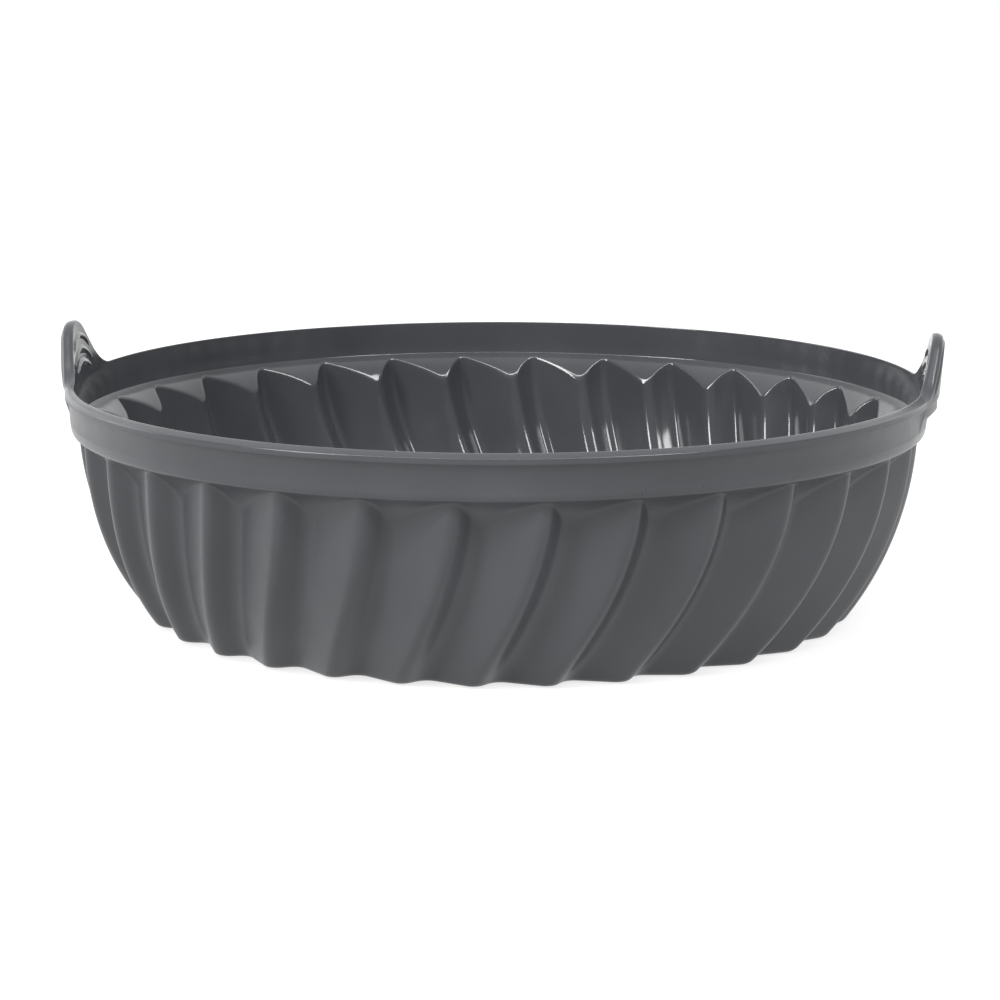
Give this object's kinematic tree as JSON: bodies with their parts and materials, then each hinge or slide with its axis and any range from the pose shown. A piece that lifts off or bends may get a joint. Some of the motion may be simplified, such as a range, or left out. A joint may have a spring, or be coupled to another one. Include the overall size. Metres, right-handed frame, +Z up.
{
  "type": "brioche mould",
  "caption": "Round fluted silicone brioche mould with swirling pleats, a smooth upright collar, a reinforced lip and two small pull ears.",
  "frame": {"origin": "middle of the flat underside of the base, on the surface that the mould stands on", "axes": "+Z up out of the bowl along its centre line, +X towards one pull ear, so the two ears lie on the X axis"},
  "size_m": [0.2508, 0.244, 0.08],
  "materials": {
    "silicone": "satin",
    "ring_steel": "satin"
  },
  "bodies": {
    "root": {"mould_body": "silicone", "rim_ring": "ring_steel"}
  },
  "joints": []
}
